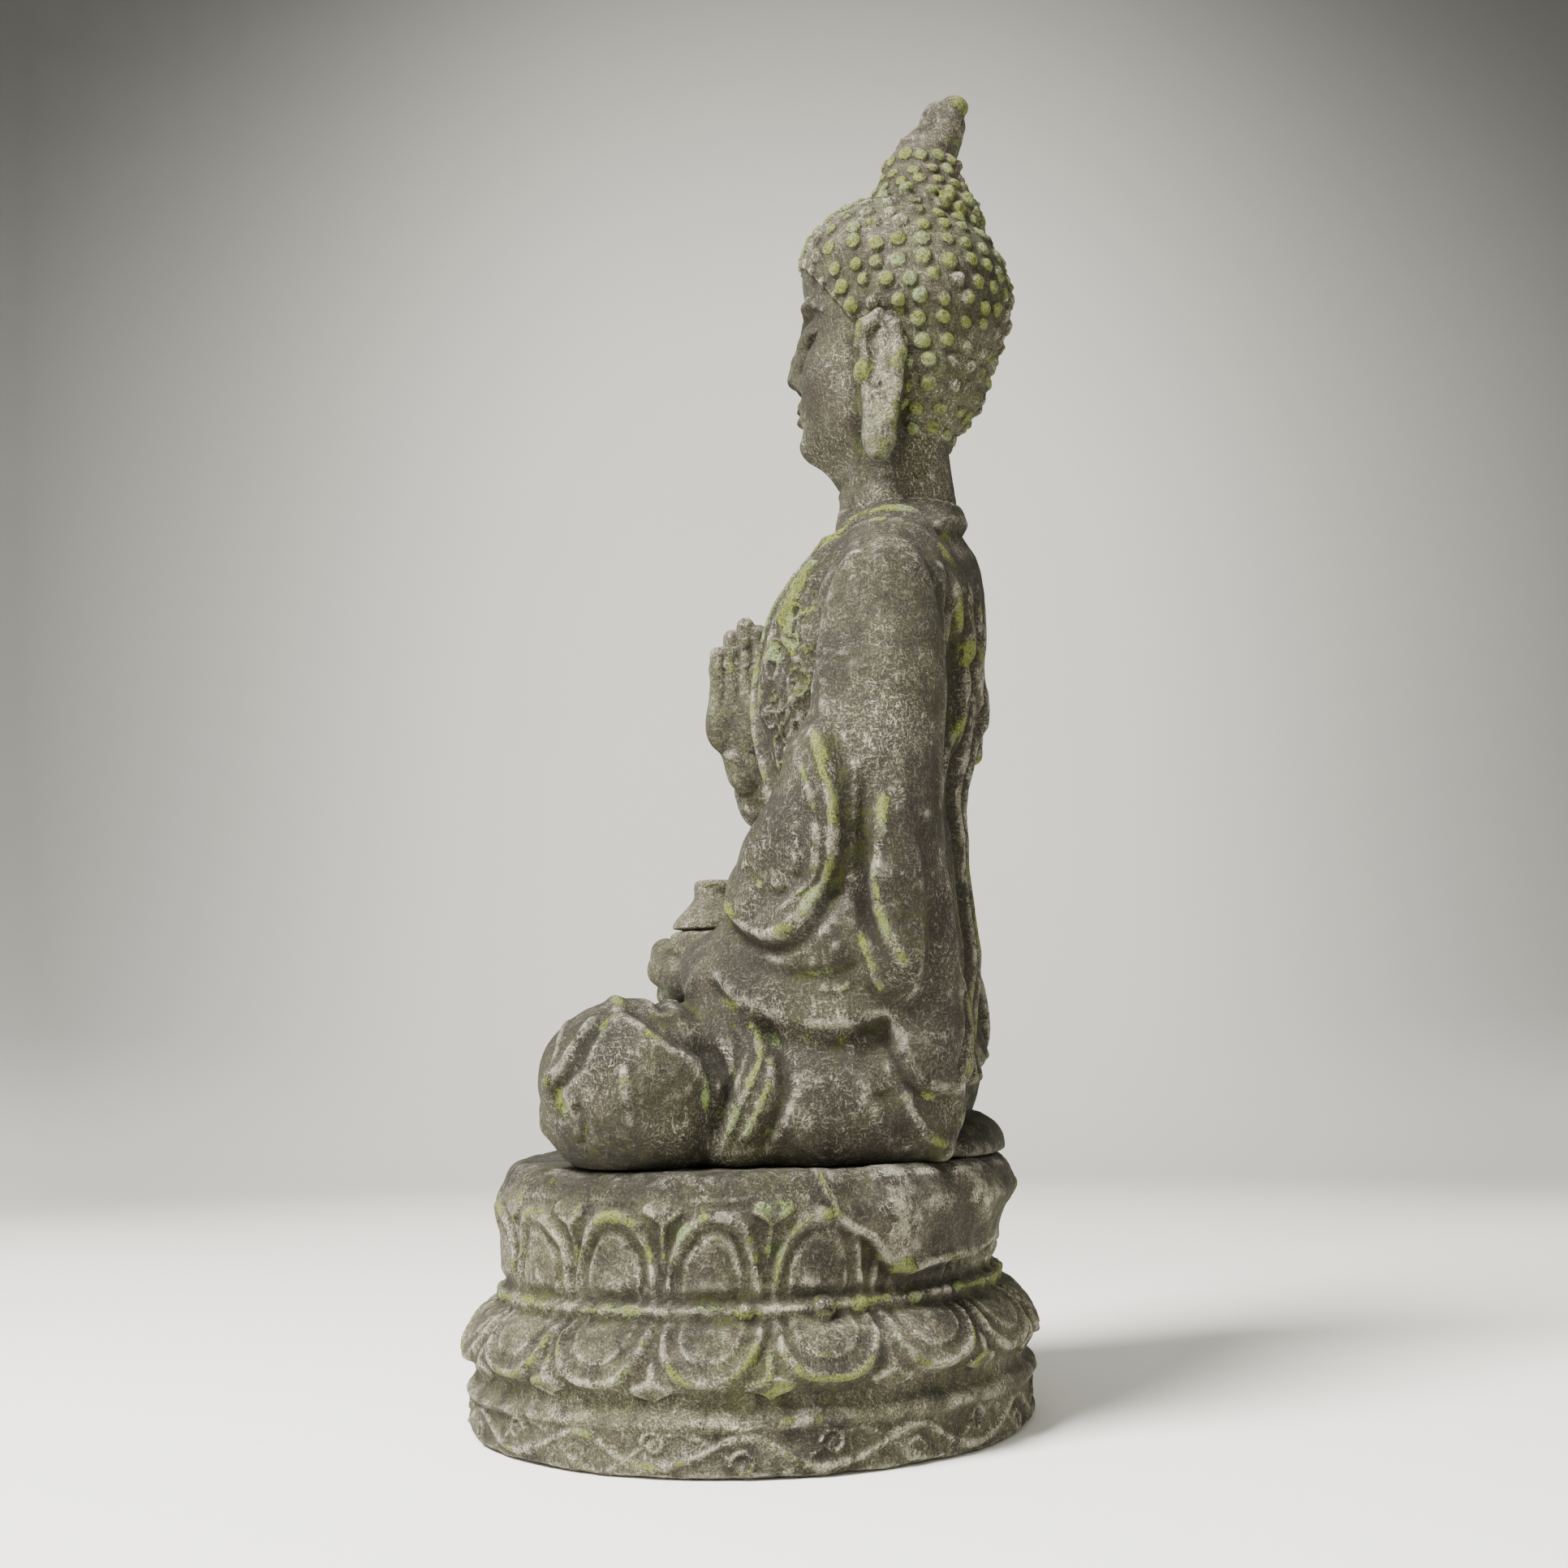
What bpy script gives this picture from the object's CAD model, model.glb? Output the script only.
import math
import bmesh
import bpy
import numpy as np
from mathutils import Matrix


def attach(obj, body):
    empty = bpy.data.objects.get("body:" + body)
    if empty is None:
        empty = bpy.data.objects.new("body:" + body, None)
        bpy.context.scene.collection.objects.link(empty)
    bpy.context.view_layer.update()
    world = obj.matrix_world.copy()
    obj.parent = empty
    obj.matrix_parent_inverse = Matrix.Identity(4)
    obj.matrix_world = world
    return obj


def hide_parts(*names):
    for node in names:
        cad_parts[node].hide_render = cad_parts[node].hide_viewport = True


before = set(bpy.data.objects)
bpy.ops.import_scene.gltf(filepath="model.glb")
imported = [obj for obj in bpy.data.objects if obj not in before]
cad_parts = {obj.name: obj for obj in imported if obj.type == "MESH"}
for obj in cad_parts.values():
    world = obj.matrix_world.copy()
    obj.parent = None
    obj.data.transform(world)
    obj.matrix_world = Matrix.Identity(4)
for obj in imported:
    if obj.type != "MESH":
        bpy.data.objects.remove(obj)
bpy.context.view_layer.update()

import openvdb
from mathutils import Matrix, Vector

# A weathered stone buddha on a double lotus pedestal. Shapes are worked out in
# millimetres, as in the CAD, and become metres when a mesh is made. The figure
# faces -Y, +X is its left side and +Z is up.
MM = 0.001
# The figure's left and right
SIDES = (1, -1)


# ---- numbers on points ----

def smooth(low, high, value):
    """0 below low, 1 above high, and an even slope between."""
    t = np.clip((value - low) / (high - low), 0, 1)
    return t * t * (3 - 2 * t)


def bell(distance, width):
    return np.exp(-(distance / width) ** 2)


def between(a, b, c, d, value):
    """Rises from a to b, is 1 from b to c, and falls from c to d."""
    return smooth(a, b, value) * smooth(d, c, value)


class Grain:
    """Smooth random values in space, the same on every run."""

    def __init__(self, seed, size):
        self.size = size
        self.count = 32
        self.values = np.random.RandomState(seed).uniform(-1, 1, (self.count,) * 3)

    def at(self, points):
        q = np.asarray(points) / self.size
        base = np.floor(q).astype(int)
        f = q - base
        f = f * f * (3 - 2 * f)
        total = np.zeros(len(q))
        for corner in range(8):
            step = [(corner >> k) & 1 for k in range(3)]
            index = [(base[:, k] + step[k]) % self.count for k in range(3)]
            share = np.ones(len(q))
            for k in range(3):
                share = share * (f[:, k] if step[k] else 1 - f[:, k])
            total += share * self.values[index[0], index[1], index[2]]
        return total


# Random values of three sizes, in mm
BROAD = Grain(3, 34.0)
MIDDLE = Grain(5, 13.0)
FINE = Grain(7, 5.5)


def weather(points):
    """How far wear has moved the stone's skin, in mm."""
    rough = smooth(-0.2, 0.6, BROAD.at(points + 500))
    return (0.7 * BROAD.at(points) + 0.65 * MIDDLE.at(points)
            + (0.2 + 0.45 * rough) * FINE.at(points))


# ---- clay: distances on a grid ----

# Beyond a shape's box by this much it is left out of the reckoning, in mm
MARGIN = 26.0
FAR = 60.0


def soft_min(a, b, soft):
    """The lesser of two distances, blended over a width where they are alike."""
    h = np.clip(soft - np.abs(a - b), 0, None) / soft
    return np.minimum(a, b) - h * h * soft / 4


def ball(centre, radii):
    """An ellipsoid: its box and its distance."""
    centre = np.array(centre, float)
    radii = np.array(radii, float)

    def distance(x, y, z):
        p = [x - centre[0], y - centre[1], z - centre[2]]
        k0 = np.sqrt(sum((p[k] / radii[k]) ** 2 for k in range(3)))
        k1 = np.sqrt(sum((p[k] / radii[k] ** 2) ** 2 for k in range(3))) + 1e-9
        return k0 * (k0 - 1) / k1

    return centre - radii, centre + radii, distance


def limb(points, radii, squash=(1, 1, 1)):
    """A chain of tapering capsules. squash widens it along an axis."""
    points = np.array(points, float)
    radii = np.array(radii, float)
    squash = np.array(squash, float)

    def distance(x, y, z):
        best = None
        for a, b, ra, rb in zip(points[:-1], points[1:], radii[:-1], radii[1:]):
            v = (b - a) / squash
            p = [(c - a[k]) / squash[k] for k, c in enumerate((x, y, z))]
            t = np.clip(sum(p[k] * v[k] for k in range(3)) / (v @ v), 0, 1)
            d = np.sqrt(sum((p[k] - t * v[k]) ** 2 for k in range(3))) - (ra + (rb - ra) * t)
            best = d if best is None else soft_min(best, d, 3.0)
        return best

    spread = (radii[:, None] * np.maximum(squash, 1)).max(axis=0)
    return points.min(axis=0) - spread, points.max(axis=0) + spread, distance


class Clay:
    """A block of space on a regular grid that shapes are pressed into."""

    def __init__(self, low, high, cell):
        self.low = np.array(low, float)
        self.cell = cell
        self.shape = np.ceil((np.array(high) - self.low) / cell).astype(int) + 1
        self.field = np.full(self.shape, FAR, np.float32)

    def window(self, low, high):
        """The part of the grid round a box: its slices and its places on each axis."""
        a = np.clip(np.floor((low - MARGIN - self.low) / self.cell), 0, self.shape).astype(int)
        b = np.clip(np.ceil((high + MARGIN - self.low) / self.cell) + 1, 0, self.shape).astype(int)
        axes = [self.low[k] + self.cell * np.arange(a[k], b[k], dtype=np.float32) for k in range(3)]
        cut = tuple(slice(a[k], b[k]) for k in range(3))
        return cut, np.meshgrid(*axes, indexing="ij", sparse=True)

    def add(self, shape, soft=10.0, sign=1):
        low, high, distance = shape
        cut, axes = self.window(low, high)
        near = distance(*axes).astype(np.float32)
        self.field[cut] = sign * soft_min(sign * self.field[cut], near, soft)

    def ball(self, centre, radii, soft=10.0):
        self.add(ball(centre, radii), soft)

    def limb(self, points, radii, squash=(1, 1, 1), soft=10.0):
        self.add(limb(points, radii, squash), soft)

    def carve(self, shape, soft=6.0):
        self.add(shape, soft, -1)

    def keep(self, low, high):
        """Cut everything below and above two levels away, square."""
        z = self.low[2] + self.cell * np.arange(self.shape[2], dtype=np.float32)
        self.field = np.maximum(self.field, np.maximum(low - z, z - high))

    def skin(self):
        """The surface as points in mm and four-sided faces, facing out."""
        self.field[[0, -1], :, :] = FAR
        self.field[:, [0, -1], :] = FAR
        self.field[:, :, [0, -1]] = FAR
        grid = openvdb.FloatGrid(FAR)
        grid.copyFromArray(np.clip(self.field, -FAR, FAR))
        points, quads = grid.convertToQuads(0.0)
        points = np.array(points, float) * self.cell + self.low
        quads = np.array(quads, int)
        return points, outward(points, quads)


def outward(points, quads):
    """Turn the faces over if they enclose a negative volume."""
    a, b, c, d = (points[quads[:, k]] for k in range(4))
    volume = np.einsum("ij,ij->i", a, np.cross(b, c)).sum()
    volume += np.einsum("ij,ij->i", a, np.cross(c, d)).sum()
    return quads if volume > 0 else quads[:, ::-1]


def normals_of(points, quads):
    a, b, c, d = (points[quads[:, k]] for k in range(4))
    face = np.cross(c - a, d - b)
    n = np.zeros_like(points)
    for k in range(4):
        np.add.at(n, quads[:, k], face)
    return n / (np.linalg.norm(n, axis=1)[:, None] + 1e-9)


# ---- relief: lines, hems and curls drawn on a skin ----

LAYERS = ("moss", "dirt", "worn", "aged")
VIEWS = {
    "left": ((1, 2), (1, 0, 0)),
    "right": ((1, 2), (-1, 0, 0)),
    "front": ((0, 2), (0, -1, 0)),
    "back": ((0, 2), (0, 1, 0)),
    "top": ((0, 1), (0, 0, 1)),
}
# A line that is kept to a box fades in over this depth, in mm
BOX_FADE = 16.0


class Relief:
    """What is carved on a skin and what grows on it, one value per point.

    height is in mm along the normal. moss, dirt, worn, which is paler stone on
    rubbed edges, and aged, which is darker stone, run from 0 to 1. Lines are drawn
    on the skin as it is seen in the view."""

    def __init__(self, points, normals):
        self.points = points
        self.normals = normals
        self.view = "left"
        for key in ("height", *LAYERS):
            setattr(self, key, np.zeros(len(points)))

    def lay(self, where=slice(None), **layers):
        """Raise layers at some points, where they are lower than the given values."""
        for key, values in layers.items():
            layer = getattr(self, key)
            layer[where] = np.maximum(layer[where], values)

    def layers(self, where=slice(None)):
        return {key: np.clip(getattr(self, key)[where], 0, 1) for key in LAYERS}

    def near(self, line, width, box=None):
        """Points near a drawn line: their numbers, distance, side, place along it and gate."""
        axes, facing = VIEWS[self.view]
        flat = self.points[:, axes]
        gate = smooth(-0.05, 0.4, self.normals @ np.array(facing, float))
        if box is not None:
            depth = np.minimum(self.points - box[0], box[1] - self.points).min(axis=1)
            gate = gate * smooth(0, BOX_FADE, depth)
        line = np.array(line, float)
        inside = gate > 0
        for k in range(2):
            inside &= (flat[:, k] > line[:, k].min() - 4 * width)
            inside &= (flat[:, k] < line[:, k].max() + 4 * width)
        chosen = np.nonzero(inside)[0]
        p = flat[chosen]
        best = np.full(len(p), 1e9)
        side = np.zeros(len(p))
        place = np.zeros(len(p))
        lengths = np.linalg.norm(np.diff(line, axis=0), axis=1)
        start = 0.0
        for a, b, length in zip(line[:-1], line[1:], lengths):
            v = (b - a) / length
            t = np.clip((p - a) @ v, 0, length)
            off = p - a - t[:, None] * v
            d = np.linalg.norm(off, axis=1)
            closer = d < best
            best = np.where(closer, d, best)
            cross = v[0] * (p - a)[:, 1] - v[1] * (p - a)[:, 0]
            side = np.where(closer, cross, side)
            place = np.where(closer, (start + t) / lengths.sum(), place)
            start += length
        return chosen, best, side, place, gate[chosen]

    def line(self, line, width, height, moss=0.0, dirt=0.0, fade=0.12, box=None):
        """A ridge, or a groove where height is negative."""
        i, d, _, place, gate = self.near(rounded(line), width, box)
        ends = between(0, fade, 1 - fade, 1, place)
        shape = bell(d, width) * gate * ends
        self.height[i] += height * shape
        wide = bell(d, width * 1.8) * gate * ends
        self.lay(i, moss=moss * shape, dirt=dirt * wide)

    def hem(self, line, width, height, reach, moss=0.0, dirt=0.3, box=None):
        """A step up to the left of the line's direction, with a rolled edge."""
        i, d, side, place, gate = self.near(rounded(line), reach, box)
        ends = between(0, 0.1, 0.9, 1, place)
        signed = np.sign(side) * d
        lift = smooth(-width, width, signed) * (1 - smooth(reach * 0.3, reach, signed))
        roll = bell(signed - width, width)
        foot = bell(signed + width, width)
        weight = gate * ends
        self.height[i] += height * weight * (0.8 * lift + 0.22 * roll - 0.2 * foot)
        self.lay(i, moss=moss * roll * weight, dirt=dirt * foot * weight)

    def tangle(self, low, high, size, height):
        """Worn carved ornament in a box: low ridges that wind about."""
        low, high = np.array(low, float), np.array(high, float)
        depth = np.minimum(self.points - low, high - self.points).min(axis=1)
        gate = smooth(0, 18, depth)
        wind = Grain(31, size)
        ridge = smooth(0.26, 0.04, np.abs(wind.at(self.points + 3 * MIDDLE.at(self.points)[:, None])))
        self.height += height * gate * ridge
        self.lay(moss=0.8 * gate * ridge, dirt=0.55 * gate * (1 - ridge))

    def studs(self, centres, radii, height, moss, dirt):
        """Round bosses, such as hair curls."""
        for centre, radius in zip(centres, radii):
            near = np.nonzero(np.abs(self.points[:, 2] - centre[2]) < radius * 2.2)[0]
            d = np.linalg.norm(self.points[near] - centre, axis=1)
            near, d = near[d < radius * 2.2], d[d < radius * 2.2] / radius
            dome = np.clip(1 - d * d, 0, None) ** 0.6
            self.height[near] += height * dome * (1 + 0.35 * FINE.at(self.points[near] * 1.6))
            self.lay(near, moss=moss * smooth(0.15, 0.75, dome), dirt=dirt * bell(d - 1.25, 0.3))


def rounded(line, rounds=3):
    """Cut the corners of a drawn line so that it runs in a smooth curve."""
    line = np.array(line, float)
    for _ in range(rounds):
        if len(line) < 3:
            break
        a, b = line[:-1], line[1:]
        middle = np.stack([0.75 * a + 0.25 * b, 0.25 * a + 0.75 * b], axis=1).reshape(-1, 2)
        line = np.vstack([line[:1], middle[1:-1], line[-1:]])
    return line


# ---- meshes ----

# How far a piece's skin turns in at a joint, in mm
JOINT_LIP = 3.0


def make_piece(name, points, quads, layers, nodes, normals=None):
    """A mesh object from points in mm, in place of some CAD nodes. With normals given
    it is a part of a skin: its open ends are closed, and the normals are kept."""
    mesh = bpy.data.meshes.new(name)
    mesh.vertices.add(len(points))
    mesh.vertices.foreach_set("co", (points * MM).astype(np.float32).ravel())
    mesh.loops.add(quads.size)
    mesh.loops.foreach_set("vertex_index", quads.astype(np.int32).ravel())
    mesh.polygons.add(len(quads))
    mesh.polygons.foreach_set("loop_start", np.arange(0, quads.size, 4, dtype=np.int32))
    mesh.update(calc_edges=True)
    for key, values in layers.items():
        layer = mesh.attributes.new(key, "FLOAT", "POINT")
        layer.data.foreach_set("value", values.astype(np.float32))
    if normals is not None:
        layer = mesh.attributes.new("outward", "FLOAT_VECTOR", "POINT")
        layer.data.foreach_set("vector", normals.astype(np.float32).ravel())
        close_holes(mesh)
    mesh.polygons.foreach_set("use_smooth", np.ones(len(mesh.polygons), bool))
    if normals is not None:
        keep_normals(mesh, len(quads))
    piece = bpy.data.objects.new(name, mesh)
    bpy.context.collection.objects.link(piece)
    piece.data.materials.append(STONE)
    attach(piece, "root")
    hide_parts(*nodes)


def close_holes(mesh):
    """Close a mesh's open ends with flat caps of triangles."""
    shape = bmesh.new()
    shape.from_mesh(mesh)
    rim = [edge for edge in shape.edges if edge.is_boundary]
    caps = bmesh.ops.holes_fill(shape, edges=rim, sides=0)["faces"]
    bmesh.ops.triangulate(shape, faces=caps)
    shape.to_mesh(mesh)
    shape.free()


def keep_normals(mesh, skin_faces):
    """Shade the skin as one surface, even where it is parted into pieces."""
    stored = np.zeros(len(mesh.vertices) * 3, np.float32)
    mesh.attributes["outward"].data.foreach_get("vector", stored)
    stored = stored.reshape(-1, 3)
    corners = np.zeros(len(mesh.loops), np.int32)
    mesh.loops.foreach_get("vertex_index", corners)
    split = stored[corners]
    for face in list(mesh.polygons)[skin_faces:]:
        split[face.loop_start:face.loop_start + face.loop_total] = face.normal
    mesh.normals_split_custom_set(split.tolist())
    mesh.attributes.remove(mesh.attributes["outward"])


def open_edges(quads):
    """Edges that only one face has, in that face's direction."""
    edges = np.vstack([quads[:, [k, (k + 1) % 4]] for k in range(4)])
    key = edges.min(axis=1) * (quads.max() + 1) + edges.max(axis=1)
    _, first, count = np.unique(key, return_index=True, return_counts=True)
    return edges[first[count == 1]]


def part_skin(points, quads, relief, label, names):
    """Part one skin into pieces by a label for each face. At a joint each piece's
    skin turns inward before it is closed."""
    normals = normals_of(points, quads)
    for number, (name, nodes) in enumerate(names):
        faces = quads[label == number]
        used, back = np.unique(faces, return_inverse=True)
        faces = back.reshape(faces.shape)
        rim = open_edges(faces)
        edge = np.unique(rim)
        inner = np.zeros(len(used), int)
        inner[edge] = len(used) + np.arange(len(edge))
        lip = np.stack([rim[:, 1], rim[:, 0], inner[rim[:, 0]], inner[rim[:, 1]]], axis=1)
        kept = np.append(used, used[edge])
        shell = points[kept]
        shell[len(used):] -= JOINT_LIP * normals[used[edge]]
        make_piece(name, shell, np.vstack([faces, lip]), relief.layers(kept), nodes,
                   normals[kept])


def whole_piece(name, points, quads, relief, wear, node):
    """A finished skin as one piece in place of one CAD node."""
    raised = finish_skin(points, quads, relief, wear)
    make_piece(name, raised, quads, relief.layers(), (node,))


def hollows(points, quads, rounds=6):
    """How far each point lies below its neighbours' mean, in mm."""
    level = points.copy()
    edges = np.vstack([quads[:, [k, (k + 1) % 4]] for k in range(4)])
    count = np.bincount(edges.ravel(), minlength=len(points))[:, None]
    for _ in range(rounds):
        total = np.zeros_like(level)
        for k in range(3):
            total[:, k] = (np.bincount(edges[:, 0], level[edges[:, 1], k], len(points))
                           + np.bincount(edges[:, 1], level[edges[:, 0], k], len(points)))
        level = total / np.maximum(count, 1)
    normals = normals_of(points, quads)
    return np.einsum("ij,ij->i", level - points, normals)


def finish_skin(points, quads, relief, wear=1.0):
    """Raise the relief, wear the stone, and mark its hollows and its edges."""
    worn = wear * weather(points)
    raised = points + relief.normals * (relief.height + worn)[:, None]
    depth = hollows(raised, quads)
    broad = hollows(raised, quads, 40)
    relief.dirt *= 0.8
    relief.lay(dirt=smooth(0.15, 1.1, depth), worn=smooth(0.12, 0.9, -depth))
    relief.lay(dirt=0.8 * smooth(1.0, 6.0, broad))
    patches = MIDDLE.at(points * 0.9 + 70) + 0.6 * FINE.at(points * 0.9 + 30)
    broken = 0.12 + 0.88 * smooth(-0.35, 0.45, patches)
    relief.moss = np.clip(relief.moss * broken + 0.2 * smooth(0.25, 1.2, -depth), 0, 1)
    return raised


# ---- materials ----

class Nodes:
    """A short way to write a node material."""

    def __init__(self, name):
        self.material = bpy.data.materials.new(name)
        self.material.use_nodes = True
        self.tree = self.material.node_tree
        self.tree.nodes.clear()
        self.out = self.tree.nodes.new("ShaderNodeOutputMaterial")
        self.shader = self.tree.nodes.new("ShaderNodeBsdfPrincipled")
        self.tree.links.new(self.shader.outputs[0], self.out.inputs["Surface"])
        self.place = self.tree.nodes.new("ShaderNodeNewGeometry").outputs["Position"]

    def put(self, kind, inputs, **settings):
        node = self.tree.nodes.new(kind)
        for key, value in settings.items():
            setattr(node, key, value)
        for key, value in inputs.items():
            if isinstance(value, bpy.types.NodeSocket):
                self.tree.links.new(value, node.inputs[key])
            else:
                node.inputs[key].default_value = value
        return node

    def attribute(self, name):
        return self.put("ShaderNodeAttribute", {}, attribute_name=name).outputs["Fac"]

    def math(self, operation, a, b, clamp=False):
        return self.put("ShaderNodeMath", {0: a, 1: b}, operation=operation,
                        use_clamp=clamp).outputs[0]

    def times(self, a, b):
        return self.math("MULTIPLY", a, b)

    def plus(self, a, b):
        return self.math("ADD", a, b)

    def noise(self, scale, detail=4.0, rough=0.6, where=None):
        return self.put("ShaderNodeTexNoise", {
            "Vector": where or self.place, "Scale": scale, "Detail": detail,
            "Roughness": rough}).outputs["Fac"]

    def stretch(self, scale, where=None, turn=(0, 0, 0)):
        return self.put("ShaderNodeMapping", {
            "Vector": where or self.place, "Scale": scale, "Rotation": turn}).outputs["Vector"]

    def swirl(self, scale, reach):
        """The place, bent by a noise of its own."""
        warp = self.put("ShaderNodeTexNoise", {"Vector": self.place, "Scale": scale,
                                               "Detail": 2.0}).outputs["Color"]
        return self.put("ShaderNodeVectorMath", {0: warp, 1: (reach, reach, reach),
                        2: self.place}, operation="MULTIPLY_ADD").outputs[0]

    def steps(self, value, low, high, low_out=0.0, high_out=1.0):
        return self.put("ShaderNodeMapRange", {
            "Value": value, "From Min": low, "From Max": high,
            "To Min": low_out, "To Max": high_out},
            interpolation_type="SMOOTHSTEP").outputs["Result"]

    def mix(self, share, a, b):
        return self.put("ShaderNodeMix", {0: share, 6: a, 7: b}, data_type="RGBA").outputs[2]

    def bump(self, height, distance, strength, before=None):
        inputs = {"Height": height, "Distance": distance, "Strength": strength}
        if before is not None:
            inputs["Normal"] = before
        return self.put("ShaderNodeBump", inputs).outputs["Normal"]

    def wire(self, socket, value):
        self.tree.links.new(value, self.shader.inputs[socket])


def colour(red, green, blue):
    """A colour as read off a screen, from 0 to 255, as linear light."""
    def linear(v):
        v = v / 255
        return v / 12.92 if v <= 0.04045 else ((v + 0.055) / 1.055) ** 2.4
    return (linear(red), linear(green), linear(blue), 1.0)


def mossy_stone():
    """Weathered stone: fibrous grey-brown, pale dry patches, dark stains and moss."""
    n = Nodes("mossy_stone")
    moss_mask = n.attribute("moss")
    dirt_mask = n.attribute("dirt")
    worn_mask = n.attribute("worn")

    # Fine grain, and short fibres that swirl over the stone
    swirl = n.swirl(38.0, 0.020)
    fibre_a = n.noise(540.0, 3.0, 0.65, n.stretch((1.0, 1.0, 0.22), swirl))
    fibre_b = n.noise(540.0, 3.0, 0.65, n.stretch((1.0, 0.25, 0.9), swirl, (0.6, 0.3, 0.0)))
    fibre = n.math("MAXIMUM", fibre_a, fibre_b)
    grain = n.noise(700.0, 3.0, 0.7)
    speck = n.noise(1300.0, 2.0, 0.6)
    patch = n.noise(13.0, 4.0, 0.6)
    cloud = n.noise(36.0, 4.0, 0.62)
    blotch = n.noise(80.0, 4.0, 0.65)
    streak = n.noise(40.0, 4.0, 0.62, n.stretch((1.0, 1.0, 0.14)))

    soil = colour(27, 25, 18)
    dark = colour(46, 42, 34)
    body = colour(83, 78, 64)
    rust = colour(86, 77, 64)
    olive = colour(74, 80, 46)
    pale = colour(188, 182, 163)

    tone = n.plus(n.times(patch, 0.55), n.plus(n.times(cloud, 0.30), n.times(blotch, 0.25)))
    base = n.mix(n.steps(tone, 0.64, 0.47), body, dark)
    base = n.mix(n.times(n.steps(n.noise(21.0, 3.0), 0.50, 0.66), 0.6), base, rust)
    green_film = n.times(n.steps(n.noise(11.0, 4.0), 0.40, 0.60), n.steps(blotch, 0.34, 0.60))
    base = n.mix(n.times(green_film, 0.62), base, olive)
    stain = n.times(n.steps(streak, 0.50, 0.66), n.steps(tone, 0.66, 0.48))
    base = n.mix(n.times(stain, 0.7), base, dark)
    base = n.mix(n.attribute("aged"), base, dark)
    dry = n.steps(n.plus(tone, n.times(worn_mask, 0.22)), 0.50, 0.76, 0.16, 1.0)
    base = n.mix(n.times(n.times(n.steps(fibre, 0.54, 0.70), dry), 0.95), base, pale)
    base = n.mix(n.times(n.steps(grain, 0.52, 0.70), n.times(dry, 0.6)), base, pale)
    base = n.mix(n.times(worn_mask, n.steps(blotch, 0.38, 0.64, 0.0, 0.5)), base, pale)
    base = n.mix(n.times(n.steps(grain, 0.50, 0.32), 0.75), base, soil)
    base = n.mix(n.times(n.steps(speck, 0.50, 0.30), 0.5), base, soil)
    base = n.mix(n.times(dirt_mask, n.steps(blotch, 0.28, 0.60, 0.92, 0.62)), base, soil)

    # Moss grows in tufts along the raised edges and thins out to grey-green
    tuft = n.noise(520.0, 3.0, 0.7)
    clump = n.noise(110.0, 4.0, 0.7)
    spread = n.noise(24.0, 3.0, 0.6)
    edge = n.times(moss_mask, n.steps(spread, 0.34, 0.58, 0.25, 1.15))
    ragged = n.plus(edge, n.plus(n.times(clump, 0.9), n.times(tuft, 0.7)))
    cover = n.times(n.steps(ragged, 1.05, 1.42), n.steps(edge, 0.04, 0.30))
    fresh = n.mix(n.noise(60.0, 3.0), colour(90, 100, 38), colour(124, 133, 60))
    dusty = colour(122, 134, 92)
    leaf = n.mix(n.steps(n.noise(33.0, 2.0), 0.50, 0.62), fresh, dusty)
    leaf = n.mix(n.steps(tuft, 0.56, 0.36, 0.0, 0.8), leaf, colour(50, 53, 24))
    leaf = n.mix(n.steps(speck, 0.56, 0.70, 0.0, 0.55), leaf, pale)
    crevice = n.times(n.times(dirt_mask, n.steps(spread, 0.48, 0.62)), n.steps(clump, 0.4, 0.6))
    base = n.mix(n.times(crevice, 0.7), base, colour(62, 66, 26))
    base = n.mix(n.math("MULTIPLY", cover, 0.8, True), base, leaf)

    n.wire("Base Color", base)
    n.wire("Roughness", n.steps(n.plus(fibre, cover), 0.3, 1.3, 0.80, 0.97))
    n.shader.inputs["Specular IOR Level"].default_value = 0.2
    lumps = n.bump(n.plus(cloud, n.times(blotch, 0.6)), 0.004, 0.5)
    fibres = n.bump(n.plus(n.times(fibre, 0.8), n.times(grain, 0.8)), 0.0016, 0.9, lumps)
    pits = n.bump(speck, 0.0006, 0.7, fibres)
    n.wire("Normal", n.bump(n.times(cover, n.plus(tuft, clump)), 0.0022, 0.8, pits))
    return n.material


def brushed_metal(name, tint):
    n = Nodes(name)
    drawn = n.noise(300.0, 3.0, 0.6, n.stretch((1.0, 1.0, 0.05)))
    n.wire("Base Color", n.mix(drawn, tint, (0.8 * tint[0], 0.8 * tint[1], 0.8 * tint[2], 1.0)))
    n.wire("Roughness", n.steps(drawn, 0.3, 0.7, 0.28, 0.5))
    n.wire("Normal", n.bump(drawn, 0.0003, 0.4))
    n.shader.inputs["Metallic"].default_value = 1.0
    return n.material


STONE = mossy_stone()
INNER = {
    "steel": (brushed_metal("steel", (0.55, 0.56, 0.58, 1.0)),
              ("core_dowel", "seat_dowels", "torso_dowel", "elbow_dowels", "neck_dowel")),
    "bronze": (brushed_metal("bronze", (0.42, 0.30, 0.15, 1.0)),
               ("wrist_pins", "jar_pin", "topknot_dowel", "finial_pin")),
}


# ---- pedestal ----

# The half width is this much more than the half depth, from OVAL_INNER outward
OVAL_EXTRA = 20
OVAL_INNER = 150
AROUND = 840
PETALS = 16
PETAL_PHASE = 2.0
SCROLL_WAVES = 11
SCROLL_PHASE = 8.0
SCROLL_RADIUS = 222
BEADS = 46
CORD_RADIUS = 196
# The robe's lower edge on the upper lotus: angles, and the level at each
ROBE_FOOT = ((19, 22, 24, 27, 31, 35.5, 38, 40, 45, 50, 69, 100, 120, 134, 145),
             (215, 193, 176, 160, 151, 143, 132, 122, 118, 121, 122, 134, 150, 176, 215))
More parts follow.
